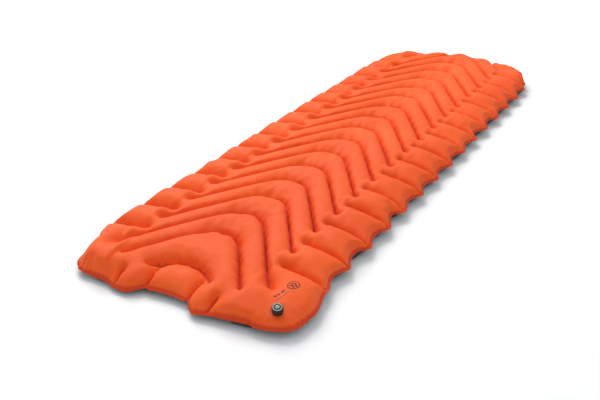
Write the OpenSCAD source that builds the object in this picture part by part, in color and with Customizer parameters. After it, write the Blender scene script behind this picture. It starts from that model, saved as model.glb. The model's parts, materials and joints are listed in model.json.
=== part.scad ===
// Inflatable sleeping pad: two fabric shells welded together round the rim, along rounded
// chevrons across the middle and along short rail welds at the sides, with a twist valve
// on the corner chamber at the near end. X runs across, Y from the valve end to the far
// end, Z up, and the origin is on the ground under the middle of the pad.

/* [Pad] */
// Length over the rim weld
pad_length = 1830; // [1700:10:1900]
// Width over the rim weld
pad_width = 584; // [560:4:620]
// Height when inflated
pad_height = 64; // [56:2:72]
// Height of the welds above the ground, where the two shells meet
weld_height = 26; // [24:1:32]
// Thickness of the coated fabric
fabric = 0.6; // [0.4:0.1:1]
// Width of the flat weld round the rim
rim_weld = 6; // [5:1:8]
// Radius of the two corners at the valve end
near_radius = 70; // [65:5:80]
// Radius of the two corners at the far end
far_radius = 150; // [120:10:180]

/* [Chevron welds] */
// Distance from one chevron to the next
pitch = 105; // [95:1:115]
// Angle of the chevron arms from straight across
arm_angle = 56; // [50:1:58]
// Radius of the chevron tips
tip_radius = 60; // [50:5:70]
// Reach of the chevron arms from the middle
arm_reach = 178; // [168:2:188]
// Reach of the arms of the chevron beside the corner chambers
corner_reach = 200; // [190:2:210]
// Width of every weld inside the rim
weld_width = 7; // [5:1:9]
// Clear distance between the cut-short arms and the valve end
arm_clearance = 77; // [70:1:90]

/* [Rail and end welds] */
// Distance of the rail welds' inner ends from the middle
rail_start = 172; // [160:2:180]
// How far a rail weld leans towards the valve end
rail_lean = 10; // [0:1:15]
// Distance of the inner pair of end welds from the middle
inner_end_weld = 58; // [50:2:66]
// Distance of the outer pair of end welds from the middle
outer_end_weld = 122; // [114:2:130]
// Length of the inner pair, measured from the valve end
inner_weld_length = 60; // [50:1:66]
// Length of the outer pair
outer_weld_length = 35; // [25:1:45]
// How far the rim between the inner pair lies back from the valve end
end_recess = 14; // [8:1:28]

/* [Insulation] */
// Width of an insulation strip
strip_width = 24; // [16:2:28]
// Thickness of an insulation strip
strip_thickness = 16; // [10:2:18]
// How far a strip reaches below the welds
strip_sink = 7; // [5:1:9]

/* [Valve] */
// Distance of the valve from the middle
valve_x = 260; // [254:1:261]
// Distance of the valve from the valve end
valve_inset = 43; // [42:1:60]
// Height of the fabric under the valve
valve_height = 44; // [42:1:52]
// Tilt of the valve towards its corner
valve_tilt = 20; // [10:1:24]
// Direction of the tilt, anticlockwise from straight across
tilt_heading = -60; // [-70:1:-45]
// Outer radius of the stem that the nozzle slides on
stem_radius = 8; // [7.5:0.1:8.5]
// Radial clearance of the turning and sliding fits
running_gap = 0.06; // [0.03:0.01:0.08]
// Travel of the nozzle
nozzle_travel = 4; // [3:0.5:4]

/* [Hidden] */
$fn = 64;
// How far a cutting shape reaches past what it cuts
over = 1;
small_fn = 24;

half_length = pad_length / 2;
half_width = pad_width / 2;
margin = 20;
arc_steps = 8;
slope_reach = 150;
fit_gap = 0.1;

// Chevron tips run from one just past the far end to the last one at the valve end.
far_tip = half_length - rim_weld / 2;
chevron_count = floor((pad_length - arm_clearance) / pitch) + 2;
tips = [for (i = [-1 : chevron_count - 2]) far_tip - i * pitch];
corner_chevron = chevron_count - 3;
knee = tip_radius * sin(arm_angle);
full_drop = drop(arm_reach);
near_limit = arm_clearance - half_length;
strip_reach = rail_start - margin;
rail_count = chevron_count - 3;

// Valve heights along its axis, from the outer face of the fabric.
flange_radius = 16;
flange_thickness = 1.2;
neck_radius = 10;
neck_top = 2.5;
stem_bottom = -8;
stem_top = 13;
stem_bore = 6.4;
shoulder_top = 4.5;
shoulder_radius = 11.2;
collar_bottom = 4.8;
collar_top = 14.8;
collar_radius = 11.4;
grip_radius = 11.9;
grip_top = 9.8;
grip_flutes = 18;
flute_radius = 0.8;
lip_thickness = 1.2;
ring_bottom = 6.2;
ring_thickness = 0.8;
ring_radius = 9.2;
ring_groove = 7.4;
nozzle_radius = 9.4;
nozzle_bottom = 7.6;
nozzle_rim = 16.8;
rim_thickness = 1.6;
cam_pin_radius = 0.9;
cam_pin_reach = 10.2;
cam_pin_height = nozzle_bottom + 1;
track_radius = 10.5;
track_top = cam_pin_height + cam_pin_radius + nozzle_travel + 0.3;
mouth_radius = 4.85;
plug_radius = 4.6;
plug_bottom = 13.8;
plug_top = 17.2;
dome_height = 1;
seal_section = 0.5;
seal_ring_radius = mouth_radius - running_gap / 2 - seal_section;
plug_seal_height = 16;
stem_seal_height = 12;
post_radius = 2.2;
post_top = 15;
spoke_width = 1.8;
spoke_height = 2;
spoke_bottom = -7;

// How far a chevron has fallen back from its tip at a distance from the middle.
function drop(x) = abs(x) < knee
    ? tip_radius - sqrt(tip_radius * tip_radius - x * x)
    : tip_radius * (1 - cos(arm_angle)) + (abs(x) - knee) * tan(arm_angle);

// The reach of the arms of the chevron whose tip is at this place in the list.
function reach(i) = i == corner_chevron
    ? corner_reach
    : min(arm_reach, knee + (tips[i] - near_limit - drop(knee)) / tan(arm_angle));

// Points of one edge of a chevron, its centre line moved forwards by this distance.
function chevron_edge(tip, reach, shift) = concat(
    [[-reach, tip - drop(reach)] + shift * [-sin(arm_angle), cos(arm_angle)]],
    [for (i = [-arc_steps : arc_steps]) let (a = arm_angle * i / arc_steps)
        [0, tip - tip_radius] + (tip_radius + shift) * [sin(a), cos(a)]],
    [[reach, tip - drop(reach)] + shift * [sin(arm_angle), cos(arm_angle)]]);

function reversed(list) = [for (i = [len(list) - 1 : -1 : 0]) list[i]];

module chevron(tip, reach, width) {
    polygon(concat(chevron_edge(tip, reach, width / 2), reversed(chevron_edge(tip, reach, -width / 2))));
}

function corner(x, y, radius, from) = [for (i = [0 : arc_steps]) let (a = from + 90 * i / arc_steps)
    [x + radius * cos(a), y + radius * sin(a)]];

// Outline of the pad, drawn in from the rim by this distance. The steps of the end recess lie
// within the inner end welds.
module outline(inset) {
    near = near_radius - inset;
    far = far_radius - inset;
    step_start = inner_end_weld + weld_width / 2;
    step_end = inner_end_weld - weld_width / 2;
    near_y = inset - half_length;
    recess_y = near_y + end_recess;
    polygon(concat(
        corner(half_width - far_radius, half_length - far_radius, far, 0),
        corner(far_radius - half_width, half_length - far_radius, far, 90),
        corner(near_radius - half_width, near_radius - half_length, near, 180),
        [[-step_start, near_y], [-step_end, recess_y], [step_end, recess_y], [step_start, near_y]],
        corner(half_width - near_radius, near_radius - half_length, near, 270)));
}

module chevron_welds(grow) {
    for (i = [0 : chevron_count - 1])
        chevron(tips[i], reach(i) + grow, weld_width + 2 * grow);
}

// One rail weld and its mirror image, from rail_start out past the rim.
module rail_weld(y, grow) {
    w = weld_width / 2 + grow;
    outer = half_width + margin;
    for (side = [-1, 1])
        scale([side, 1])
            polygon([[rail_start - grow, y - w], [outer, y - rail_lean - w],
                [outer, y - rail_lean + w], [rail_start - grow, y + w]]);
}

module rail_welds(grow) {
    for (i = [0 : rail_count - 1])
        rail_weld(tips[i + 1] - full_drop + pitch / 2, grow);
}

// A pair of end welds, from past the rim up to this length.
module end_weld_pair(from_middle, length, grow) {
    for (x = [-from_middle, from_middle])
        translate([x - weld_width / 2 - grow, -half_length - margin])
            square([weld_width + 2 * grow, length + margin + grow]);
}

module end_welds(grow) {
    end_weld_pair(inner_end_weld, inner_weld_length, grow);
    end_weld_pair(outer_end_weld, outer_weld_length, grow);
}

// Plan of the raised chambers, shrunk on every side by this distance.
module chamber_plan(shrink) {
    difference() {
        outline(rim_weld + shrink);
        chevron_welds(shrink);
        rail_welds(shrink);
        end_welds(shrink);
    }
}

// One shell, its weld plane at zero: the rim weld and the chambers raised to this height.
module shell_outside(height) {
    linear_extrude(fabric) outline(0);
    linear_extrude(height) chamber_plan(0);
}

module shell_inside(height) {
    translate([0, 0, -margin])
        linear_extrude(height - fabric + margin) chamber_plan(fabric);
}

module place_valve() {
    translate([valve_x, valve_inset - half_length, valve_height])
        rotate([0, 0, tilt_heading])
            rotate([0, valve_tilt, 0])
                children();
}

// Everything above the slope that the valve stands on, the slope sunk by this depth.
module above_slope(depth) {
    place_valve()
        translate([-slope_reach, -slope_reach, -depth])
            cube([2 * slope_reach, 2 * slope_reach, pad_height]);
}

module top_shell() {
    chamber_height = pad_height - weld_height;
    color("orangered")
        difference() {
            translate([0, 0, weld_height]) shell_outside(chamber_height);
            above_slope(0);
            difference() {
                translate([0, 0, weld_height]) shell_inside(chamber_height);
                above_slope(fabric);
            }
            place_valve()
                translate([0, 0, stem_bottom])
                    cylinder(r = neck_radius + fit_gap, h = neck_top - stem_bottom);
        }
}

module bottom_shell() {
    color("#26282b")
        translate([0, 0, weld_height])
            mirror([0, 0, 1])
                difference() {
                    shell_outside(weld_height);
                    shell_inside(weld_height);
                }
}

// A strip of loose fibre in the middle of each chamber.
module insulation_strips() {
    color("ivory")
        translate([0, 0, weld_height - strip_sink])
            linear_extrude(strip_thickness)
                for (i = [2 : chevron_count - 3])
                    chevron(tips[i] - pitch / 2, strip_reach, strip_width);
}

module ring(outer, inner, bottom, top) {
    translate([0, 0, bottom])
        difference() {
            cylinder(r = outer, h = top - bottom);
            translate([0, 0, -over]) cylinder(r = inner, h = top - bottom + 2 * over);
        }
}

module o_ring(radius, section, height) {
    translate([0, 0, height])
        rotate_extrude()
            translate([radius, 0])
                circle(r = section, $fn = small_fn);
}

// Soft flange welded to the inside of the upper shell, with a neck up through the fabric.
module valve_flange() {
    color("#3a3c3f")
        place_valve() {
            ring(flange_radius, stem_radius, -fabric - flange_thickness, -fabric);
            ring(neck_radius, stem_radius, stem_bottom, neck_top);
        }
}

// Hard stem with a shoulder for the collar, and grooves for the snap ring and the seal.
module valve_body() {
    groove_depth = 2 * seal_section;
    color("#1b1c1e")
        place_valve()
            difference() {
                union() {
                    cylinder(r = stem_radius, h = stem_top);
                    translate([0, 0, stem_bottom]) cylinder(r = stem_radius, h = -stem_bottom);
                    translate([0, 0, neck_top])
                        cylinder(r = shoulder_radius, h = shoulder_top - neck_top);
                }
                translate([0, 0, stem_bottom - over])
                    cylinder(r = stem_bore, h = stem_top - stem_bottom + 2 * over);
                ring(stem_radius + over, ring_groove, ring_bottom, ring_bottom + ring_thickness);
                ring(stem_radius + over, stem_radius - groove_depth,
                    stem_seal_height - seal_section, stem_seal_height + seal_section);
            }
}

// Three spokes across the stem and the post that carries the plug.
module plug_post() {
    color("#8d938f")
        place_valve() {
            translate([0, 0, spoke_bottom]) cylinder(r = post_radius, h = post_top - spoke_bottom);
            intersection() {
                translate([0, 0, spoke_bottom]) cylinder(r = stem_bore, h = spoke_height);
                for (a = [0, 120, 240])
                    rotate([0, 0, a])
                        translate([0, -spoke_width / 2, spoke_bottom])
                            cube([stem_bore + over, spoke_width, spoke_height]);
            }
        }
}

// Plug cap with a domed top and a groove for its seal.
module plug_cap() {
    chamfer = 0.6;
    dome_edge = plug_radius - 0.8;
    dome_start = plug_top + 0.7 * dome_height;
    color("#aab3ad")
        place_valve()
            rotate_extrude()
                difference() {
                    polygon([[0, plug_bottom], [plug_radius - chamfer, plug_bottom],
                        [plug_radius, plug_bottom + chamfer], [plug_radius, plug_top],
                        [dome_edge, dome_start], [0, plug_top + dome_height]]);
                    translate([0, plug_bottom - over])
                        square([post_radius, post_top - plug_bottom + over]);
                    translate([seal_ring_radius, plug_seal_height])
                        circle(r = seal_section, $fn = small_fn);
                    translate([seal_ring_radius, plug_seal_height - seal_section])
                        square([2 * seal_section, 2 * seal_section]);
                }
}

module plug_seal() {
    color("#5c6360")
        place_valve() o_ring(seal_ring_radius, seal_section, plug_seal_height);
}

module nozzle_seal() {
    color("#5c6360")
        place_valve() o_ring(stem_radius - seal_section, seal_section, stem_seal_height);
}

// Sliding nozzle: its mouth shuts on the plug, and two cam pins ride in the collar.
module nozzle() {
    pin_root = (stem_radius + nozzle_radius) / 2;
    color("#202224")
        place_valve()
            difference() {
                union() {
                    translate([0, 0, nozzle_bottom])
                        cylinder(r = nozzle_radius, h = nozzle_rim - nozzle_bottom);
                    for (side = [0, 180])
                        rotate([0, 0, side])
                            translate([pin_root, 0, cam_pin_height])
                                rotate([0, 90, 0])
                                    cylinder(r = cam_pin_radius, h = cam_pin_reach - pin_root);
                }
                translate([0, 0, nozzle_bottom - over])
                    cylinder(r = stem_radius + running_gap,
                        h = nozzle_rim - rim_thickness - nozzle_bottom + over);
                translate([0, 0, nozzle_bottom])
                    cylinder(r = mouth_radius, h = nozzle_rim);
            }
}

// Turning collar: a lip caught under the snap ring, a track for the cam pins and a fluted grip.
module twist_collar() {
    lip_top = collar_bottom + lip_thickness;
    color("#151617")
        place_valve()
            difference() {
                union() {
                    translate([0, 0, collar_bottom])
                        cylinder(r = collar_radius, h = collar_top - collar_bottom);
                    translate([0, 0, collar_bottom])
                        cylinder(r = grip_radius, h = grip_top - collar_bottom);
                }
                translate([0, 0, collar_bottom - over])
                    cylinder(r = stem_radius + running_gap, h = lip_thickness + 2 * over);
                translate([0, 0, lip_top])
                    cylinder(r = track_radius, h = track_top - lip_top);
                translate([0, 0, track_top - over])
                    cylinder(r = nozzle_radius + running_gap, h = collar_top - track_top + 2 * over);
                for (i = [1 : grip_flutes])
                    rotate([0, 0, 360 / grip_flutes * i])
                        translate([grip_radius + flute_radius / 2, 0, collar_bottom - over])
                            cylinder(r = flute_radius, h = grip_top - collar_bottom + 2 * over,
                                $fn = small_fn);
            }
}

// Split ring in the stem's groove, above the collar's lip.
module snap_ring() {
    split = 1.6;
    color("silver")
        place_valve()
            difference() {
                ring(ring_radius, ring_groove, ring_bottom, ring_bottom + ring_thickness);
                translate([0, -split / 2, ring_bottom - over])
                    cube([ring_radius + over, split, ring_thickness + 2 * over]);
            }
}

top_shell();
bottom_shell();
insulation_strips();
valve_flange();
valve_body();
plug_post();
plug_cap();
plug_seal();
nozzle_seal();
nozzle();
twist_collar();
snap_ring();
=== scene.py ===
import json
import math

import bpy
import numpy as np
from mathutils import Matrix, Vector, kdtree
from mathutils.geometry import delaunay_2d_cdt


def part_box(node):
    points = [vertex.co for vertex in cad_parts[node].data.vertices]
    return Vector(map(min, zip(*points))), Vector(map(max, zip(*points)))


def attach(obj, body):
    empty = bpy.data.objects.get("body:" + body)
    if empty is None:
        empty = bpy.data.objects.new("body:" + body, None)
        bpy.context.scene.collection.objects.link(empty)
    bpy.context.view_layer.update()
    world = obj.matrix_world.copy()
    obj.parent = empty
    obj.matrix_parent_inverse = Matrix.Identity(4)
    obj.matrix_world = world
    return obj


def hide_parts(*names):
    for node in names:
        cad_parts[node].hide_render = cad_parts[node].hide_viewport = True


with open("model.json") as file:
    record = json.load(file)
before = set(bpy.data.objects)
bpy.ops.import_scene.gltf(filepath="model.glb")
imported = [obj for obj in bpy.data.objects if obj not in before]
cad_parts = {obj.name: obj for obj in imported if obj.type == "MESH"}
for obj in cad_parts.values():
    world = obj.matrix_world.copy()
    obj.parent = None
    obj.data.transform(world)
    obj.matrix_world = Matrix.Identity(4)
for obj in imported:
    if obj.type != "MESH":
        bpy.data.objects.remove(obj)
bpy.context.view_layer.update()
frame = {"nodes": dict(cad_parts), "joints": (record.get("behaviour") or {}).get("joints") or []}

# ------------------------------------------------------------------ dimensions, in metres

shell_low, shell_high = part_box("top_shell")
HALF_LENGTH = shell_high.y
HALF_WIDTH = shell_high.x
WELD_HEIGHT = shell_low.z
PAD_HEIGHT = shell_high.z
NEAR_RADIUS, FAR_RADIUS = 0.070, 0.150
FAR_BULGE, TIP_GAP = 0.016, 0.045

# Chevron welds as they lie on the inflated pad.
PITCH = 0.105
ARM_ANGLE = math.radians(56)
TIP_RADIUS = 0.060
KNEE = TIP_RADIUS * math.sin(ARM_ANGLE)
FAR_TIP = HALF_LENGTH - 0.003
TIPS = [FAR_TIP + PITCH * (1 - i) for i in range(18)]
ARM_REACH = 0.178
LAST_REACHES = [0.200, 0.152, 0.082]

# Rail welds and end welds.
RAIL_START = 0.186
RAIL_LEAN = 0.010
END_WELDS = {0.058: 0.060, 0.122: 0.035}

# The flat fabric: its chevrons are blunter and further apart than they come to be on the pad,
# and its rails are wider.
FLAT_ARM_ANGLE = math.radians(51)
LENGTH_SLACK = 1.08
RAIL_SLACK = 1.08
WIDTH_SLACK = math.cos(FLAT_ARM_ANGLE) / math.cos(ARM_ANGLE)
DROP_SLACK = math.sin(FLAT_ARM_ANGLE) / math.sin(ARM_ANGLE)

# The mesh of each fabric: the distance between its points, and then in that distance how near a line
# they come, how far they stray from their rows, how near the rim a weld's points come, and how long
# a link joins a weld to the rim.
SPACING = 0.0078
CLEARANCE = 0.62
JITTER = 0.12
WELD_INSET = 0.6
RIM_LINK = 1.6

# How the air lifts the flat fabric at the start, and which rim points at the valve end are led.
START_LIFT, START_EASE = 0.008, 0.010
LED_DEPTH, LED_REACH = 0.05, 0.16

# How full and round the chambers are. A chamber is full at this percentile of the cloth's thickness,
# and the lower a roundness is, the steeper are the sides.
FULL_PERCENTILE = 95
ARM_ROUNDNESS, LEFT_RAIL_ROUNDNESS, RIGHT_RAIL_ROUNDNESS = 0.38, 0.75, 0.50
UNDER_ROUNDNESS, PRESSED = 0.8, 1.15
ARM_END_GAIN = 0.5
LEFT_EAR_TAPER, RIGHT_EAR_TAPER = 0.05, 0.36
CALM_ROUNDS, CALMER_ROUNDS, CALMER_THICKNESS_ROUNDS = 2, 20, 10

# How the rim is drawn in between the rail welds, and droops at them.
RAIL_PULL, EAR_DROOP, DROOP_REACH = 0.014, 0.003, 0.030

# Puckers round each corner: how many, how deep, wide and long, how far each strays in degrees, and
# how much of its depth it also rises.
PUCKERS, PUCKER_DEPTH, PUCKER_WIDTH, PUCKER_REACH = 8, 0.008, 0.005, 0.045
PUCKER_STRAY, PUCKER_RISE = 5, 0.7

# How far the corner chambers move: at the valve end inwards from the left and outwards to the right,
# at the far end back from the rim and in from the sides.
LEFT_SHOULDER, RIGHT_SHOULDER = 0.026, 0.018
FAR_CORNER_BACK, FAR_CORNER_IN = 0.014, 0.020

# Where changes begin and end, as distances from the middle of the pad: along it, then across it.
CALM_ZONE = (0.70, 0.80)
EAR_ZONE, RAIL_NEAR_ZONE, RAIL_FAR_ZONE = (0.72, 0.80), (0.70, 0.75), (0.74, 0.80)
NEAR_RIM_ZONE, NEAR_DROOP_ZONE, SHOULDER_ZONE = (0.81, HALF_LENGTH), (0.76, 0.86), (0.74, 0.81)
FAR_BACK_ZONE, FAR_IN_ZONE, VALVE_ZONE = (0.74, HALF_LENGTH), (0.70, 0.82), (0.72, 0.80)
ARM_END_START, ARM_END_STOP, RAIL_SIDE = (0.160, 0.172), (0.195, 0.215), (0.150, 0.200)
EAR_SIDE, RIM_SIDE, SHOULDER_SIDE = (0.215, HALF_WIDTH), (0.225, HALF_WIDTH), (0.150, 0.285)
FAR_BACK_SIDE, FAR_IN_SIDE, FLAP_SIDE = (0.115, 0.200), (0.200, 0.285), (0.055, 0.085)
VALVE_SIDE, FLAP_EDGE = (0.10, 0.16), (-0.002, 0.004)

# The rim at the valve end, from left to right: how far it is carried up the pad, and how far it droops.
NEAR_RIM_AT = [-0.290, -0.200, -0.150, -0.122, -0.112, -0.090, -0.068, -0.058, -0.050,
               0.050, 0.058, 0.068, 0.090, 0.112, 0.122, 0.135, 0.200, 0.290]
NEAR_RIM_SHIFT = [0.010, 0.008, -0.004, -0.016, -0.018, -0.024, -0.010, 0.008, -0.004,
                  -0.004, 0.008, -0.010, -0.024, -0.016, -0.010, -0.006, 0.010, 0.010]
NEAR_RIM_DROOP = [0.006, 0.010, 0.011, 0.012, 0.012, 0.012, 0.008, 0.008, 0.008,
                  0.008, 0.008, 0.008, 0.010, 0.008, 0.008, 0.006, 0.004, 0.002]

# The last chevron weld's middle lies this much nearer the valve end, and the flap in front of it
# rises to this share of a full chamber's height.
LAST_SETBACK, FLAP_SHARE = 0.032, 0.66

FABRIC = 0.0006
FLANGE_WIDTH = 0.0045
STRIP_WIDTH, STRIP_REACH, STRIP_STEP = 0.024, 0.152, 0.006

# The valve stands on the fabric here, on this axis.
hinge = next(j for j in frame["joints"] if j["name"] == "collar_twist")
VALVE = Vector(hinge["pos_m"])
VALVE_AXIS = Vector(hinge["axis"]).normalized()
VALVE_HOLE, VALVE_FLANGE, VALVE_REACH, SLOPE_BLEND = 0.0101, 0.016, 0.040, 0.008
VALVE_MARGIN, VALVE_RIM_GAP, SLOPE_HEIGHT = 0.002, 0.012, 0.01
RING_POINTS = 16

# Where each run of random numbers starts.
POINT_SEED, PUCKER_SEED, FLUFF_SEED = 7, 5, 11

# ------------------------------------------------------------------ the pad's flat pattern


def drop(x):
    """How far a chevron has fallen back from its tip at x."""
    x = abs(x)
    if x < KNEE:
        return TIP_RADIUS - math.sqrt(TIP_RADIUS**2 - x * x)
    return TIP_RADIUS * (1 - math.cos(ARM_ANGLE)) + (x - KNEE) * math.tan(ARM_ANGLE)


def weld_line(tip, x):
    """Where a chevron weld crosses this x. The last one, beside the valve end, is blunter."""
    if tip > TIPS[-1]:
        return tip - drop(x)
    reach = LAST_REACHES[-1]
    return tip - LAST_SETBACK - (drop(reach) - LAST_SETBACK) * (x / reach) ** 2


def eased_drop(x):
    """drop(x) with its slope fading out beside the rails, whose welds run straight across."""
    fade_from, fade_to = 0.160, 0.200
    x = abs(x)
    if x <= fade_from:
        return drop(x)
    t = min(x, fade_to) - fade_from
    return drop(fade_from) + math.tan(ARM_ANGLE) * (t - t * t / (2 * (fade_to - fade_from)))


def flat(x, y):
    """Where a point of the inflated pad's plan lies on the flat fabric."""
    across = WIDTH_SLACK * min(abs(x), ARM_REACH) + RAIL_SLACK * max(abs(x) - ARM_REACH, 0)
    return (math.copysign(across, x), LENGTH_SLACK * (y + eased_drop(x)) - DROP_SLACK * eased_drop(x))


def laid(x, y):
    """The other way round: where a point of the flat fabric lies on the inflated pad."""
    edge = WIDTH_SLACK * ARM_REACH
    across = abs(x) / WIDTH_SLACK if abs(x) < edge else ARM_REACH + (abs(x) - edge) / RAIL_SLACK
    fall = eased_drop(across)
    return (math.copysign(across, x), (y + DROP_SLACK * fall) / LENGTH_SLACK - fall)


FLAT_SIDE, FLAT_NEAR = flat(HALF_WIDTH, -HALF_LENGTH)
FLAT_FAR = LENGTH_SLACK * (HALF_LENGTH + FAR_BULGE)


def inside(x, y, inset=0.0):
    """True where a flat point is in the outline by at least this distance."""
    radius, end = (FAR_RADIUS, FLAT_FAR) if y > 0 else (NEAR_RADIUS, -FLAT_NEAR)
    over_x, over_y = abs(x) - FLAT_SIDE, abs(y) - end
    if max(over_x, over_y) > -inset:
        return False
    over_x, over_y = over_x + radius, over_y + radius
    return min(over_x, over_y) < 0 or math.hypot(over_x, over_y) < radius - inset


def evenly(points, step):
    """Points at even distances along a line of many points, its ends kept."""
    points = np.array(points)
    along = np.concatenate([[0], np.cumsum(np.hypot(*np.diff(points, axis=0).T))])
    count = max(2, round(along[-1] / step) + 1)
    at = np.linspace(0, along[-1], count)
    return list(zip(np.interp(at, along, points[:, 0]), np.interp(at, along, points[:, 1])))


def corner(x, y, radius, start):
    angles = [start + math.pi / 2 * i / 40 for i in range(41)]
    return [(x + radius * math.cos(a), y + radius * math.sin(a)) for a in angles]


def outline():
    """The flat outline, anticlockwise from the right-hand side."""
    far, near = FAR_RADIUS, NEAR_RADIUS
    loop = corner(FLAT_SIDE - far, FLAT_FAR - far, far, 0)
    loop += corner(far - FLAT_SIDE, FLAT_FAR - far, far, math.pi / 2)
    loop += corner(near - FLAT_SIDE, near + FLAT_NEAR, near, math.pi)
    loop += corner(FLAT_SIDE - near, near + FLAT_NEAR, near, math.pi * 3 / 2)
    return evenly(loop + loop[:1], SPACING)[:-1]


def chevron(tip, reach):
    """One chevron on the flat fabric, in the parts of it that lie inside the outline. The one whose
    tip comes to the far rim is open there."""
    across = np.linspace(-reach, reach, 801)
    line = evenly([flat(x, weld_line(tip, x)) for x in across], SPACING)
    gap = TIP_GAP if tip == FAR_TIP else 0
    parts, part = [], []
    for point in line + [(2 * FLAT_SIDE, 0)]:
        if inside(*point, WELD_INSET * SPACING) and abs(point[0]) >= gap:
            part.append(point)
            continue
        if len(part) > 1:
            parts.append(part)
        part = []
    return parts


def chevron_welds():
    reaches = [ARM_REACH] * (len(TIPS) - len(LAST_REACHES)) + LAST_REACHES
    return [part for tip, reach in zip(TIPS, reaches) for part in chevron(tip, reach)]


def loose_welds():
    """The rail welds and end welds, which the fabric carries with it as it inflates."""
    welds = []
    for tip in TIPS[1:-2]:
        y = tip - drop(ARM_REACH) + PITCH / 2
        start, end = flat(RAIL_START, y), flat(HALF_WIDTH, y - RAIL_LEAN)
        for side in (-1, 1):
            ends = [(side * start[0], start[1]), (side * end[0], end[1])]
            welds.append(evenly(ends, SPACING)[:-1])
    for x, length in END_WELDS.items():
        for side in (-1, 1):
            across = side * (WIDTH_SLACK * x)
            ends = [(across, FLAT_NEAR + length), (across, FLAT_NEAR)]
            welds.append(evenly(ends, SPACING)[:-1])
    return welds


def circle(centre, radius):
    turn = [2 * math.pi * i / RING_POINTS for i in range(RING_POINTS)]
    return [(centre[0] + radius * math.cos(a), centre[1] + radius * math.sin(a)) for a in turn]


FREE, RIM, CHEVRON, LOOSE = range(4)


def tree_of(places):
    """A tree that finds the nearest of these places."""
    tree = kdtree.KDTree(len(places))
    for i, (x, y) in enumerate(places):
        tree.insert((x, y, 0), i)
    tree.balance()
    return tree


def flat_mesh():
    """The flat fabric as triangles whose edges follow every weld and the valve's rings."""
    points, kinds, edges, lines = [], [], [], []

    def add(line, kind, closed=False):
        start = len(points)
        points.extend(line)
        kinds.extend([kind] * len(line))
        ids = list(range(start, start + len(line)))
        edges.extend(zip(ids, ids[1:] + ids[:1] if closed else ids[1:]))
        lines.append(ids)

    add(outline(), RIM, closed=True)
    rim = tree_of(points)
    for welds, kind in ((chevron_welds(), CHEVRON), (loose_welds(), LOOSE)):
        for weld in welds:
            add(weld, kind)
            for end in (lines[-1][0], lines[-1][-1]):
                _, nearest, gap = rim.find((*points[end], 0))
                if gap < RIM_LINK * SPACING:
                    edges.append((end, nearest))
    seams = len(edges)
    for radius in (VALVE_HOLE, VALVE_FLANGE):
        add(circle(flat(VALVE.x, VALVE.y), radius), FREE, closed=True)

    taken = tree_of(points)
    rng = np.random.default_rng(POINT_SEED)
    rows = np.arange(FLAT_NEAR, FLAT_FAR, SPACING * math.sqrt(3) / 2)
    for row, y in enumerate(rows):
        for x in np.arange(row % 2 * SPACING / 2 - FLAT_SIDE, FLAT_SIDE, SPACING):
            px, py = (x, y) + rng.uniform(-JITTER, JITTER, 2) * SPACING
            if inside(px, py, SPACING / 2) and taken.find((px, py, 0))[2] > CLEARANCE * SPACING:
                points.append((px, py))
                kinds.append(FREE)

    corners, links, faces, sources, link_sources, _ = delaunay_2d_cdt(
        [Vector(p) for p in points], edges, [], 0, 1e-6)
    place = np.array([(v.x, v.y) for v in corners])
    kind = np.array([max((kinds[s] for s in source), default=FREE) for source in sources])
    home = {s: v for v, source in enumerate(sources) for s in source}
    faces = np.array([f for f in faces if len(f) == 3])
    a, b, c = (place[faces[:, i]] for i in range(3))
    area = np.cross(b - a, c - a)
    faces = faces[np.abs(area) > 1e-9]
    turned = area[np.abs(area) > 1e-9] < 0
    faces[turned] = faces[turned][:, ::-1]
    seam_edges = [tuple(e) for e, source in zip(links, link_sources) if any(s < seams for s in source)]
    rim_loop, rings = lines[0], lines[-2:]
    return {
        "place": place, "kind": kind, "faces": faces, "seams": seam_edges,
        "rim": [home[i] for i in rim_loop], "rings": [[home[i] for i in ring] for ring in rings],
    }


def gaps(places, stops):
    """Each place's distance to the nearest of these stops."""
    tree = tree_of(stops)
    return np.array([tree.find((x, y, 0))[2] for x, y in places])


def softened(values, faces, fixed, rounds):
    """Values evened out over the mesh, those of the fixed points kept."""
    ends = np.concatenate([faces[:, [0, 1]], faces[:, [1, 2]], faces[:, [2, 0]]])
    count = np.bincount(ends.ravel(), minlength=len(values))
    for _ in range(rounds):
        total = np.bincount(ends[:, 0], values[ends[:, 1]], len(values))
        total += np.bincount(ends[:, 1], values[ends[:, 0]], len(values))
        values = np.where(fixed, values, (values + total / np.maximum(count, 1)) / 2)
    return values


# ------------------------------------------------------------------ inflating the pad


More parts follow.
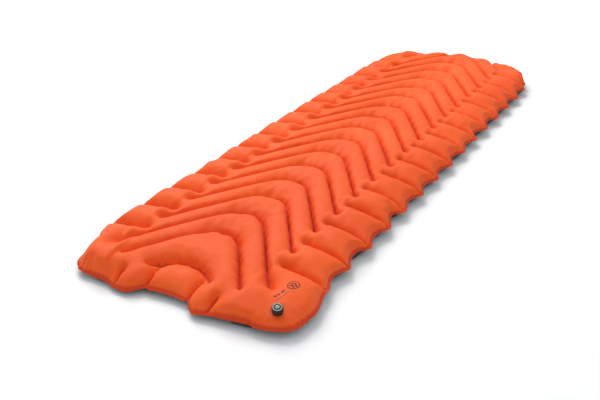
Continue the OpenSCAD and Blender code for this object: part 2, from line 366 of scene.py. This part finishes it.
def inflate(start, drawn, faces, held, guided):
    """Blender's cloth, with air inside it. The flat fabric's chevron welds (held) are drawn together
    to their places on the pad, the guided points are led there too and then let go, and the rest
    finds its own way."""
    pull_frames, settled_frame = 14, 26
    mesh = bpy.data.meshes.new("inflating")
    mesh.from_pydata(start.tolist(), [], faces.tolist())
    pad = bpy.data.objects.new("inflating", mesh)
    bpy.context.scene.collection.objects.link(pad)
    pad.shape_key_add(name="flat")
    key = pad.shape_key_add(name="drawn")
    key.data.foreach_set("co", drawn.ravel())
    group = pad.vertex_groups.new(name="led")
    group.add([int(i) for i in held], 1.0, "REPLACE")
    group.add([int(i) for i in guided], 0.95, "REPLACE")
    cloth = pad.modifiers.new("cloth", "CLOTH")
    fabric = cloth.settings
    fabric.mass = 0.001
    fabric.air_damping = 0
    fabric.tension_stiffness = fabric.compression_stiffness = 40
    fabric.bending_model = "ANGULAR"
    fabric.bending_stiffness = 0.01
    fabric.tension_damping = fabric.compression_damping = fabric.bending_damping = 0.05
    fabric.vertex_group_mass = group.name
    fabric.use_pressure = True
    fabric.uniform_pressure_force = 60
    fabric.effector_weights.gravity = 0
    cloth.collision_settings.use_collision = False
    cloth.collision_settings.use_self_collision = False
    for value, at in ((0, 1), (1, 1 + pull_frames)):
        key.value = value
        key.keyframe_insert("value", frame=at)
    for grip, at in ((50, 1), (50, pull_frames), (0, pull_frames + 3)):
        fabric.pin_stiffness = grip
        fabric.keyframe_insert("pin_stiffness", frame=at)
    scene = bpy.context.scene
    scene.frame_start, scene.frame_end = 1, settled_frame
    cloth.point_cache.frame_start, cloth.point_cache.frame_end = 1, settled_frame
    for at in range(1, settled_frame + 1):
        scene.frame_set(at)
    shape = pad.evaluated_get(bpy.context.evaluated_depsgraph_get()).data
    inflated = np.zeros(len(start) * 3)
    shape.vertices.foreach_get("co", inflated)
    for action in list(bpy.data.actions):
        bpy.data.actions.remove(action)
    bpy.data.objects.remove(pad)
    bpy.data.meshes.remove(mesh)
    scene.frame_set(1)
    return inflated.reshape(-1, 3)


def eased(value, start, end):
    """A smooth change from 0 to 1 as the value goes from start to end."""
    t = np.clip((value - start) / (end - start), 0, 1)
    return t * t * (3 - 2 * t)


def outside(value, start, end):
    """The other way round: from 1 down to 0."""
    return eased(-value, -end, -start)


def calmed(values, faces, fixed, rounds, near):
    """Values with their fine folds evened out, and by this many more rounds at the valve end."""
    calm = softened(values, faces, fixed, CALM_ROUNDS)
    return calm + near * (softened(values, faces, fixed, rounds) - calm)


def settle(shape, under, plan, faces, kind):
    """The heights once the pad rests on the ground: chambers evenly full, with steep round sides and
    undersides pressed flatter. Fine folds are evened out, most of all at the valve end."""
    count = len(under)
    out, along, right = np.abs(plan[:, 0]), plan[:, 1], plan[:, 0] > 0
    near = eased(-along, *CALM_ZONE)
    for layer in (np.arange(count), under):
        for axis in (0, 1):
            moved = shape[layer, axis] - plan[:, axis]
            shape[layer, axis] = plan[:, axis] + calmed(moved, faces, kind == CHEVRON, CALMER_ROUNDS, near)
    arm_ends = eased(out, *ARM_END_START) * outside(out, *ARM_END_STOP)
    thick = np.maximum(shape[:count, 2] - shape[under, 2], 0)
    thick = calmed(thick, faces, kind != FREE, CALMER_THICKNESS_ROUNDS, np.maximum(near, arm_ends))
    thick *= 1 + ARM_END_GAIN * arm_ends
    share = np.clip(thick / np.percentile(thick, FULL_PERCENTILE), 0, 1)
    rail_roundness = np.where(right, RIGHT_RAIL_ROUNDNESS, LEFT_RAIL_ROUNDNESS)
    roundness = ARM_ROUNDNESS + (rail_roundness - ARM_ROUNDNESS) * eased(out, *RAIL_SIDE)
    rise = share ** roundness
    taper = np.where(right, RIGHT_EAR_TAPER, LEFT_EAR_TAPER)
    rise *= 1 - taper * outside(np.abs(along), *EAR_ZONE) * eased(out, *EAR_SIDE)
    last_weld = np.array([weld_line(TIPS[-1], x) for x in plan[:, 0]])
    flap = eased(last_weld - along, *FLAP_EDGE) * outside(out, *FLAP_SIDE)
    rise *= 1 - (1 - FLAP_SHARE) * flap
    shape[under, 2] = WELD_HEIGHT * (1 - np.minimum(PRESSED * share ** UNDER_ROUNDNESS, 1))
    shape[:count, 2] = WELD_HEIGHT + (PAD_HEIGHT - WELD_HEIGHT) * rise


def shape_ends(shape, plan):
    """Carries the rim to its place round the chambers of the valve end, and cuts the far corners
    back."""
    out, along, right = np.abs(plan[:, 0]), plan[:, 1], plan[:, 0] > 0
    near = eased(-along, *NEAR_RIM_ZONE)
    shape[:, 1] += near * np.interp(plan[:, 0], NEAR_RIM_AT, NEAR_RIM_SHIFT)
    shoulder = eased(out, *SHOULDER_SIDE) * eased(-along, *SHOULDER_ZONE)
    shape[:, 0] += np.where(right, RIGHT_SHOULDER, LEFT_SHOULDER) * shoulder
    shape[:, 1] -= FAR_CORNER_BACK * eased(along, *FAR_BACK_ZONE) * eased(out, *FAR_BACK_SIDE)
    inwards = FAR_CORNER_IN * np.where(right, 1, -1)
    shape[:, 0] -= inwards * eased(along, *FAR_IN_ZONE) * eased(out, *FAR_IN_SIDE)


def pucker_corner(shape, plan, gap, rng, x_side, y_side):
    """Draws the rim of one corner in along short spokes, which also rise towards the weld's height."""
    radius, first, last = (FAR_RADIUS, 8, 82) if y_side > 0 else (NEAR_RADIUS, -8, 98)
    centre = np.array([x_side * (HALF_WIDTH - radius), y_side * (HALF_LENGTH - radius)])
    spoke = (plan - centre) * [x_side, y_side]
    angle = np.degrees(np.arctan2(spoke[:, 1], spoke[:, 0]))
    reach = eased(np.hypot(*spoke.T), radius - PUCKER_REACH, radius)
    turns = np.linspace(first, last, PUCKERS) + rng.uniform(-PUCKER_STRAY, PUCKER_STRAY, PUCKERS)
    for turn in turns:
        away = np.abs(angle - turn) * math.radians(radius)
        pucker = PUCKER_DEPTH * rng.uniform(0.5, 1) * np.exp(-away / PUCKER_WIDTH) * reach
        turn = math.radians(turn)
        inwards = -np.array([x_side * math.cos(turn), y_side * math.sin(turn)])
        shape[:, :2] += pucker[:, None] * inwards
        shape[:, 2] += PUCKER_RISE * pucker * np.sign(WELD_HEIGHT - shape[:, 2]) * (gap > 0)


def shape_rim(shape, plan, gap):
    """Draws the rails' rim in between its welds, whose ends droop as ears, lowers the rim at the
    valve end, and puckers the rim round every corner."""
    out, along = np.abs(plan[:, 0]), plan[:, 1]
    last_ear = TIPS[1] - drop(ARM_REACH) + PITCH / 2 - RAIL_LEAN
    between = np.abs(np.sin(math.pi * (along - last_ear) / PITCH))
    rail = eased(out, *RIM_SIDE) * outside(-along, *RAIL_NEAR_ZONE) * outside(along, *RAIL_FAR_ZONE)
    shape[:, 0] -= np.sign(plan[:, 0]) * RAIL_PULL * between * rail
    close = np.exp(-((gap / DROOP_REACH) ** 2))
    near = eased(-along, *NEAR_DROOP_ZONE) * np.interp(plan[:, 0], NEAR_RIM_AT, NEAR_RIM_DROOP)
    shape[:, 2] -= np.maximum(EAR_DROOP * (1 - between) * rail, near) * close
    shape[:, 2] = np.maximum(shape[:, 2], 0)
    rng = np.random.default_rng(PUCKER_SEED)
    for x_side in (-1, 1):
        for y_side in (-1, 1):
            pucker_corner(shape, plan, gap, rng, x_side, y_side)


def pad_shape(pattern):
    """The points of both fabrics on the inflated pad: the upper fabric's, then those of the lower
    fabric that it doesn't share, and the lower fabric's point under each upper one."""
    place, kind, faces = pattern["place"], pattern["kind"], pattern["faces"]
    count = len(place)
    welded = kind != FREE
    free = np.flatnonzero(~welded)
    under = np.arange(count)
    under[free] = count + np.arange(len(free))
    order = np.concatenate([np.arange(count), free])
    side = np.concatenate([np.ones(count), -np.ones(len(free))])

    plan = np.array([laid(x, y) for x, y in place])
    lift = START_LIFT * (1 - np.exp(-gaps(place, place[welded]) / START_EASE))
    start = np.column_stack([place[order], side * np.where(welded, 0, lift)[order]])
    drawn = start.copy()
    drawn[:, :2] = plan[order]
    near_middle = (place[:, 1] < FLAT_NEAR + LED_DEPTH) & (np.abs(place[:, 0]) < LED_REACH)
    guided = np.flatnonzero(np.isin(kind, (RIM, LOOSE)) & near_middle)
    both = np.concatenate([faces, under[faces][:, ::-1]])
    shape = inflate(start, drawn, both, np.flatnonzero(kind == CHEVRON), guided)
    settle(shape, under, plan, faces, kind)
    shape_ends(shape, plan[order])
    shape_rim(shape, plan[order], gaps(place, place[kind == RIM])[order])
    return shape, under


def seat_valve(points, pattern):
    """Moves the upper fabric so that the valve's hole and flange ring lie exactly at the valve."""
    across = VALVE_AXIS.cross(Vector((0, 1, 0))).normalized()
    along = VALVE_AXIS.cross(across)
    centre = points[pattern["rings"][0]].mean(axis=0)
    shift = np.array([VALVE.x, VALVE.y]) - centre[:2]
    distance = np.hypot(*(points[:, :2] - centre[:2]).T)
    from_rim = gaps(pattern["place"], pattern["place"][pattern["kind"] == RIM])
    ease = eased(VALVE_REACH - distance, 0, VALVE_REACH - VALVE_FLANGE - VALVE_MARGIN)
    ease = ease * eased(from_rim, 0, VALVE_RIM_GAP)
    points[:, :2] += ease[:, None] * shift
    offset = points[:, :2] - np.array(VALVE[:2])
    plane = VALVE.z - offset @ np.array(VALVE_AXIS[:2]) / VALVE_AXIS.z
    over = np.hypot(points[:, 2] - plane, SLOPE_BLEND)
    sloped = (points[:, 2] + plane - over) / 2
    raised = np.clip((points[:, 2] - WELD_HEIGHT) / SLOPE_HEIGHT, 0, 1)
    corner_share = eased(points[:, 0], *VALVE_SIDE) * eased(-points[:, 1], *VALVE_ZONE) * raised
    points[:, 2] += corner_share * (sloped - points[:, 2])
    points[:, 2] += ease * (plane - points[:, 2])
    for ring, radius in zip(pattern["rings"], (VALVE_HOLE, VALVE_FLANGE)):
        for i in ring:
            spoke = Vector(points[i]) - VALVE
            a = math.atan2(spoke.dot(along), spoke.dot(across))
            points[i] = VALVE + radius * (math.cos(a) * across + math.sin(a) * along)
    return points


def rim_directions(shape, under, pattern):
    """For each rim point, the unit vectors out of the pad and up, evened out along the rim."""
    rim = np.array(pattern["rim"])
    inwards = np.zeros((len(pattern["place"]), 3))
    faces = pattern["faces"]
    ends = np.concatenate([faces[:, [0, 1]], faces[:, [1, 2]], faces[:, [2, 0]]])
    ends = np.concatenate([ends, ends[:, ::-1]])
    ends = ends[np.isin(ends[:, 0], rim) & ~np.isin(ends[:, 1], rim)]
    for layer in (ends[:, 1], under[ends[:, 1]]):
        np.add.at(inwards, ends[:, 0], shape[layer] - shape[ends[:, 0]])
    out = -inwards[rim]
    run = np.roll(shape[rim], -1, axis=0) - np.roll(shape[rim], 1, axis=0)
    run /= np.linalg.norm(run, axis=1)[:, None]
    level = np.column_stack([run[:, 1], -run[:, 0], np.zeros(len(rim))])
    out += 0.2 * SPACING * level
    for _ in range(4):
        out -= (out * run).sum(axis=1)[:, None] * run
        out /= np.linalg.norm(out, axis=1)[:, None]
        out = (np.roll(out, 1, axis=0) + 2 * out + np.roll(out, -1, axis=0)) / 4
    out /= np.linalg.norm(out, axis=1)[:, None]
    return out, np.cross(out, run)


def fabric_sheet(name, points, faces, pattern, directions, side):
    """One fabric with its half of the rim flange, lifted off the other by half a thickness."""
    rim = pattern["rim"]
    out, up = directions
    points = points.copy()
    welded = pattern["kind"] != FREE
    points[welded, 2] += side * FABRIC
    points[rim] += side * FABRIC * (up - [0, 0, 1])
    rows = [rim]
    for width, gap in ((FLANGE_WIDTH / 2, FABRIC), (FLANGE_WIDTH, 0)):
        first = len(points)
        edge = points[rim] - side * FABRIC * up
        points = np.concatenate([points, edge + width * out + side * gap * up])
        rows.append(list(range(first, first + len(rim))))
    quads = []
    for inner, outer in zip(rows, rows[1:]):
        for i in range(len(rim)):
            j = (i + 1) % len(rim)
            quad = [inner[i], outer[i], outer[j], inner[j]]
            quads.append(quad if side > 0 else quad[::-1])
    used = sorted(set(np.array(faces).ravel().tolist()) | set(i for row in rows for i in row))
    new = {old: at for at, old in enumerate(used)}
    mesh = bpy.data.meshes.new(name)
    mesh.from_pydata(points[used].tolist(), [], [[new[i] for i in f] for f in faces.tolist() + quads])
    distance = np.zeros(len(points))
    distance[:len(welded)] = gaps(pattern["place"], pattern["place"][welded])
    mesh.attributes.new("weld", "FLOAT", "POINT").data.foreach_set("value", distance[used])
    creased = {tuple(sorted((new[a], new[b]))) for a, b in pattern["seams"] if a in new and b in new}
    sharpness = [1.0 if tuple(sorted(e.vertices)) in creased else 0.0 for e in mesh.edges]
    mesh.attributes.new("crease_edge", "FLOAT", "EDGE").data.foreach_set("value", sharpness)
    mesh.shade_smooth()
    sheet = bpy.data.objects.new(name, mesh)
    bpy.context.scene.collection.objects.link(sheet)
    smooth = sheet.modifiers.new("smooth", "SUBSURF")
    smooth.levels = smooth.render_levels = 1
    return sheet


def make_pad():
    pattern = flat_mesh()
    shape, under = pad_shape(pattern)
    directions = rim_directions(shape, under, pattern)
    faces = pattern["faces"]
    middle = pattern["place"][faces].mean(axis=1) - flat(VALVE.x, VALVE.y)
    open_faces = faces[np.hypot(*middle.T) > VALVE_HOLE]
    upper = seat_valve(shape[:len(under)].copy(), pattern)
    top = fabric_sheet("top_fabric", upper, open_faces, pattern, directions, 1)
    bottom = fabric_sheet("bottom_fabric", shape[under], faces[:, ::-1], pattern, directions, -1)
    return top, bottom


# ------------------------------------------------------------------ insulation


def make_insulation():
    """A fluffy fibre strip along the middle of each chamber."""
    rng = np.random.default_rng(FLUFF_SEED)
    points, faces = [], []
    around, rounded, least = 12, 3, 0.15
    turn = np.linspace(0, 2 * math.pi, around, endpoint=False)
    across = np.linspace(-STRIP_REACH, STRIP_REACH, 401)
    low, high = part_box("insulation_strips")
    middle, half_width, half_height = (low.z + high.z) / 2, STRIP_WIDTH / 2, (high.z - low.z) / 2
    for tip in TIPS[2:-2]:
        first = len(points)
        line = np.array(evenly([(x, tip - PITCH / 2 - drop(x)) for x in across], STRIP_STEP))
        run = np.gradient(line, axis=0)
        run /= np.linalg.norm(run, axis=1)[:, None]
        for i, ((x, y), (rx, ry)) in enumerate(zip(line, run)):
            end = min(i, len(line) - 1 - i)
            taper = math.sqrt(1 - max(0, 1 - end / rounded) ** 2)
            fluff = (0.9 + 0.1 * rng.random(around)) * max(taper, least)
            wide = half_width * np.cos(turn) * fluff
            points += np.column_stack([
                x - ry * wide, y + rx * wide, middle + half_height * np.sin(turn) * fluff]).tolist()
        for i in range(len(line) - 1):
            a, b = first + i * around, first + (i + 1) * around
            faces += [[a + k, a + (k + 1) % around, b + (k + 1) % around, b + k] for k in range(around)]
        faces.append(list(range(first, first + around))[::-1])
        faces.append(list(range(len(points) - around, len(points))))
    mesh = bpy.data.meshes.new("insulation")
    mesh.from_pydata(points, [], faces)
    mesh.shade_smooth()
    strips = bpy.data.objects.new("insulation", mesh)
    bpy.context.scene.collection.objects.link(strips)
    return strips


# ------------------------------------------------------------------ materials


class Look:
    """One material, with short calls that add its nodes and feed their sockets."""

    def __init__(self, name, **values):
        self.material = bpy.data.materials.new(name)
        self.material.use_nodes = True
        self.tree = self.material.node_tree
        self.shader = self.tree.nodes["Principled BSDF"]
        self.place = self.node("TexCoord").outputs["Object"]
        self.feed(self.shader, values)

    def feed(self, node, values):
        for name, value in values.items():
            by_number = name[0] == "_"
            socket = node.inputs[int(name[1:]) if by_number else name.replace("_", " ")]
            if isinstance(value, bpy.types.NodeSocket):
                self.tree.links.new(value, socket)
            else:
                socket.default_value = value

    def node(self, kind, settings=(), **values):
        node = self.tree.nodes.new("ShaderNode" + kind)
        for name, value in dict(settings).items():
            setattr(node, name, value)
        self.feed(node, values)
        return node

    def math(self, operation, a, b=0.0, c=0.0):
        return self.node("Math", {"operation": operation}, _0=a, _1=b, _2=c).outputs[0]

    def dot(self, vector, direction):
        product = self.node("VectorMath", {"operation": "DOT_PRODUCT"}, _0=vector, _1=direction)
        return product.outputs["Value"]

    def away_from(self, point):
        """The vector from a fixed point to here."""
        return self.node("VectorMath", {"operation": "SUBTRACT"}, _0=self.place, _1=point).outputs[0]

    def product(self, a, b):
        return self.math("MULTIPLY", a, b)

    def squared(self, a):
        return self.math("POWER", a, 2)

    def noise(self, scale, detail=2.0, roughness=0.5):
        """Soft noise, whose patches are about one metre over this scale."""
        noise = self.node("TexNoise", Vector=self.place, Scale=scale, Detail=detail, Roughness=roughness)
        return noise.outputs[0]

    def fade(self, value, start, end, low=0.0, high=1.0):
        """A smooth change from low to high as the value goes from start to end."""
        settings = {"interpolation_type": "SMOOTHSTEP"}
        return self.node("MapRange", settings, _0=value, _1=start, _2=end, _3=low, _4=high).outputs[0]

    def mix(self, amount, a, b):
        return self.node("Mix", {"data_type": "RGBA"}, _0=amount, _6=a, _7=b).outputs[2]

    def bump(self, height, distance, strength=1.0, normal=None):
        values = {"Height": height, "Distance": distance, "Strength": strength}
        if normal:
            values["Normal"] = normal
        return self.node("Bump", **values).outputs[0]

    def weave(self, threads):
        """Height of a plain weave: this many threads to the metre, across and along."""
        x, y = (self.dot(self.place, d) for d in ((1, 0, 0), (0, 1, 0)))
        waves = [self.math("SINE", self.math("MULTIPLY", v, math.pi * threads)) for v in (x, y)]
        return self.math("ABSOLUTE", self.product(*waves))


def colour(red, green, blue):
    """A colour from the usual 0 to 255 values, as the linear light that nodes take."""
    parts = [value / 255 for value in (red, green, blue)]
    return tuple(v / 12.92 if v <= 0.04045 else ((v + 0.055) / 1.055) ** 2.4 for v in parts) + (1.0,)


def fabric_look(name, light, dark, weld_and_shade_colour, **values):
    """Coated woven fabric: weave, soft creases, faint random tone changes, and heat-pressed welds whose
    darker colour is partly painted shade of the weld valleys.
    """
    shade_scale, crease_scale, grain_scale, rough_scale, threads = 5.5, 38, 330, 60, 900
    crease_depth, grain_depth, thread_depth = 0.0022, 0.0002, 0.00006
    pressed_from, pressed_to, crease_from, crease_to = 0.0010, 0.0042, 0.004, 0.028
    weld_shade_share, weld_smoothing, calm_share = 0.75, -0.1, 0.18
    look = Look(name, **values)
    weld = look.node("Attribute", {"attribute_name": "weld"}).outputs["Fac"]
    base = look.mix(look.fade(look.noise(shade_scale, 3), 0.35, 0.65), light, dark)
    pressed = look.fade(weld, pressed_from, pressed_to, 1, 0)
    near_weld = look.fade(weld, crease_from, crease_to, 1, calm_share)
    folds = look.product(look.noise(crease_scale, 3, 0.55), near_weld)
    normal = look.bump(folds, crease_depth, 0.35)
    normal = look.bump(look.noise(grain_scale, 2), grain_depth, 0.25, normal)
    normal = look.bump(look.weave(threads), thread_depth, 0.6, normal)
    rough = look.fade(look.noise(rough_scale, 3), 0.3, 0.7, 0.60, 0.70)
    rough = look.math("ADD", rough, look.product(pressed, weld_smoothing))
    look.feed(look.shader, {"Normal": normal, "Roughness": rough})
    # The weld band's darker colour: partly the pressed weld's own colour, partly painted shade in the
    # valleys.
    return look, look.mix(look.product(pressed, weld_shade_share), base, weld_and_shade_colour)


def printed_mark(look, base, ink):
    """A printed mark of plain shapes beside the valve: a ring round two chevrons, and three bars
    in a row above a thin rule."""
    centre, turn, edge = (0.2520, -0.7950, 0), math.radians(76), 0.0003
    ring, inside_ring, bend = (0.0112, 0.0134), (0.0092, 0.0098), 0.6
    chevrons = ((-0.0045, -0.0005), (0.0030, 0.0070))
    bars, bar_height = ((-0.0300, 0.0090), (-0.0415, 0.0070), (-0.0500, 0.0060)), (0.0030, 0.0080)
    rule_length, rule_height = (-0.0560, -0.0200), (-0.0060, -0.0048)
    wear_scale, worn_from, worn_to = 500, 0.30, 0.42
    offset = look.away_from(centre)
    along = look.dot(offset, (math.cos(turn), math.sin(turn), 0))
    across = look.dot(offset, (-math.sin(turn), math.cos(turn), 0))

    def band(value, low, high):
        rise = look.fade(value, low - edge, low + edge)
        return look.product(rise, look.fade(value, high - edge, high + edge, 1, 0))

    radius = look.math("SQRT", look.math("ADD", look.squared(along), look.squared(across)))
    bent = look.math("ADD", along, look.product(look.math("ABSOLUTE", across), bend))
    pair = look.math("ADD", *(band(bent, *chevron) for chevron in chevrons))
    marks = look.math("ADD", band(radius, *ring), look.product(pair, look.fade(radius, *inside_ring, 1, 0)))
    for start, length in bars:
        bar = look.product(band(along, start, start + length), band(across, *bar_height))
        marks = look.math("ADD", marks, bar)
    rule = look.product(band(along, *rule_length), band(across, *rule_height))
    marks = look.math("MINIMUM", look.math("ADD", marks, rule), 1)
    worn = look.fade(look.noise(wear_scale, 3), worn_from, worn_to)
    return look.mix(look.product(marks, worn), base, ink)


def top_look():
    # The third colour darkens the welds: partly their own colour, partly painted shade in the valleys.
    look, base = fabric_look(
        "orange_fabric", colour(240, 94, 36), colour(233, 86, 30), colour(192, 48, 14),
        Sheen_Weight=0.03, Sheen_Roughness=0.4, Specular_IOR_Level=0.18)
    look.feed(look.shader, {"Base Color": printed_mark(look, base, colour(58, 30, 24))})
    return look.material


def bottom_look():
    # The third colour darkens the welds: partly their own colour, partly painted shade in the valleys.
    look, base = fabric_look(
        "dark_fabric", colour(40, 42, 45), colour(32, 34, 37), colour(24, 25, 27),
        Sheen_Weight=0.12, Sheen_Roughness=0.5, Specular_IOR_Level=0.3)
    look.feed(look.shader, {"Base Color": base})
    return look.material


def fibre_look():
    look = Look("fibre", Roughness=0.9, Sheen_Weight=0.4)
    strand = look.noise(420, 4, 0.65)
    look.feed(look.shader, {
        "Base Color": look.mix(strand, colour(236, 233, 224), colour(205, 201, 190)),
        "Normal": look.bump(strand, 0.0009, 0.7)})
    return look.material


def moulded_look(name, main, worn, rough, grain=700, **values):
    """Moulded plastic or rubber: fine grain, faint mottling and scuffs."""
    look = Look(name, **values)
    scuffs = look.fade(look.noise(160, 4, 0.6), 0.56, 0.72)
    normal = look.bump(look.noise(grain, 3), 0.00012, 0.35)
    look.feed(look.shader, {
        "Base Color": look.mix(look.product(scuffs, 0.5), main, worn),
        "Roughness": look.fade(look.noise(90, 3), 0.3, 0.7, rough - 0.06, rough + 0.06),
        "Normal": normal})
    return look


def valve_place(look):
    """Distance from the valve's axis, and height along it above the fabric."""
    offset = look.away_from(tuple(VALVE))
    height = look.dot(offset, tuple(VALVE_AXIS))
    length = look.node("VectorMath", {"operation": "LENGTH"}, _0=offset).outputs["Value"]
    squared = look.math("SUBTRACT", look.squared(length), look.squared(height))
    return look.math("SQRT", look.math("MAXIMUM", squared, 0)), height


def nozzle_look():
    """Dark nozzle with a painted highlight: a light ring on its outer top edge."""
    look = moulded_look("nozzle_nylon", colour(30, 32, 33), colour(70, 72, 72), 0.42)
    radius, height = valve_place(look)
    # Painted highlight: a thin light ring round the outer top edge of the nozzle.
    edge = look.product(look.fade(radius, 0.0078, 0.0083), look.fade(height, 0.0163, 0.0167))
    dark = look.shader.inputs["Base Color"].links[0].from_socket
    look.feed(look.shader, {"Base Color": look.mix(edge, dark, colour(186, 192, 186))})
    return look.material


def steel_look():
    look = Look("spring_steel", Metallic=1.0)
    brushed = look.noise(900, 3)
    look.feed(look.shader, {
        "Base Color": look.mix(look.noise(120, 3), colour(188, 190, 192), colour(160, 162, 165)),
        "Roughness": look.fade(brushed, 0.3, 0.7, 0.28, 0.40),
        "Normal": look.bump(brushed, 0.00005, 0.4)})
    return look.material


def give_looks(top, bottom, strips):
    black = moulded_look("black_nylon", colour(27, 28, 30), colour(62, 63, 65), 0.45).material
    grey = moulded_look("grey_nylon", colour(150, 160, 154), colour(176, 184, 178), 0.38).material
    rubber = moulded_look("flange_rubber", colour(46, 47, 50), colour(66, 67, 70), 0.6, 400).material
    looks = {
        top: top_look(), bottom: bottom_look(), strips: fibre_look(),
        "valve_flange": rubber, "valve_body": black, "twist_collar": black, "nozzle": nozzle_look(),
        "plug_post": grey, "plug_cap": grey, "snap_ring": steel_look(),
    }
    seal = moulded_look("silicone", colour(92, 99, 96), colour(110, 116, 113), 0.55, 300).material
    looks.update({"plug_seal": seal, "nozzle_seal": seal})
    for piece, material in looks.items():
        mesh = (frame["nodes"][piece] if isinstance(piece, str) else piece).data
        if mesh.materials:
            for slot in range(len(mesh.materials)):
                mesh.materials[slot] = material
        else:
            mesh.materials.append(material)


# ------------------------------------------------------------------ studio


def make_floor():
    mesh = bpy.data.meshes.new("floor")
    half = 8.0
    corners = [(-half, -half, 0), (half, -half, 0), (half, half, 0), (-half, half, 0)]
    mesh.from_pydata(corners, [], [(0, 1, 2, 3)])
    look = Look("floor", Roughness=0.9, Specular_IOR_Level=0.1)
    pale, shaded = (0.96, 0.96, 0.96, 1), (0.94, 0.94, 0.94, 1)
    look.feed(look.shader, {"Base Color": look.mix(look.noise(1.5), pale, shaded)})
    mesh.materials.append(look.material)
    floor = bpy.data.objects.new("floor", mesh)
    bpy.context.scene.collection.objects.link(floor)


def make_light(name, place, size, power):
    light = bpy.data.lights.new(name, "AREA")
    light.shape, light.size, light.energy = "DISK", size, power
    lamp = bpy.data.objects.new(name, light)
    lamp.location = place
    lamp.rotation_euler = (Vector((0, 0, 0)) - Vector(place)).to_track_quat("-Z", "Y").to_euler()
    bpy.context.scene.collection.objects.link(lamp)


def make_studio():
    make_floor()
    make_light("key", (-1.7, 1.0, 2.5), 2.6, 95)
    make_light("fill", (1.6, -1.9, 2.4), 2.5, 10)
    world = bpy.data.worlds.new("studio")
    world.use_nodes = True
    background = world.node_tree.nodes["Background"]
    background.inputs["Color"].default_value = (0.96, 0.975, 1.0, 1)
    background.inputs["Strength"].default_value = 0.63
    scene = bpy.context.scene
    scene.world = world
    scene.view_settings.view_transform = "Standard"


def make_camera():
    """The photographer's place: off the near right corner, looking down along the pad."""
    heading, down, roll = (math.radians(a) for a in (-29.849, 26.386, -0.583))
    ahead = Vector((math.sin(heading), math.cos(heading), 0))
    forward = ahead * math.cos(down) - Vector((0, 0, math.sin(down)))
    level = Vector((math.cos(heading), -math.sin(heading), 0))
    raised = level.cross(forward)
    right = level * math.cos(roll) + raised * math.sin(roll)
    up = raised * math.cos(roll) - level * math.sin(roll)
    lens = bpy.data.cameras.new("camera")
    lens.sensor_width, lens.lens = 36.0, 49.67
    camera = bpy.data.objects.new("camera", lens)
    camera.matrix_world = Matrix.Translation((0.97267, -2.02144, 0.95841)) @ Matrix(
        (right, up, -forward)).transposed().to_4x4()
    bpy.context.scene.collection.objects.link(camera)
    bpy.context.scene.camera = camera


# ------------------------------------------------------------------ putting it together

make_camera()
top_fabric, bottom_fabric = make_pad()
insulation = make_insulation()
for piece, node, slot, fill in (
        (top_fabric, "top_shell", "orange_fabric", 1.0),
        (bottom_fabric, "bottom_shell", "dark_fabric", 1.0),
        (insulation, "insulation_strips", "fibre", 0.3)):
    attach(piece, "pad")
    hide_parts(node)
give_looks(top_fabric, bottom_fabric, insulation)
make_studio()
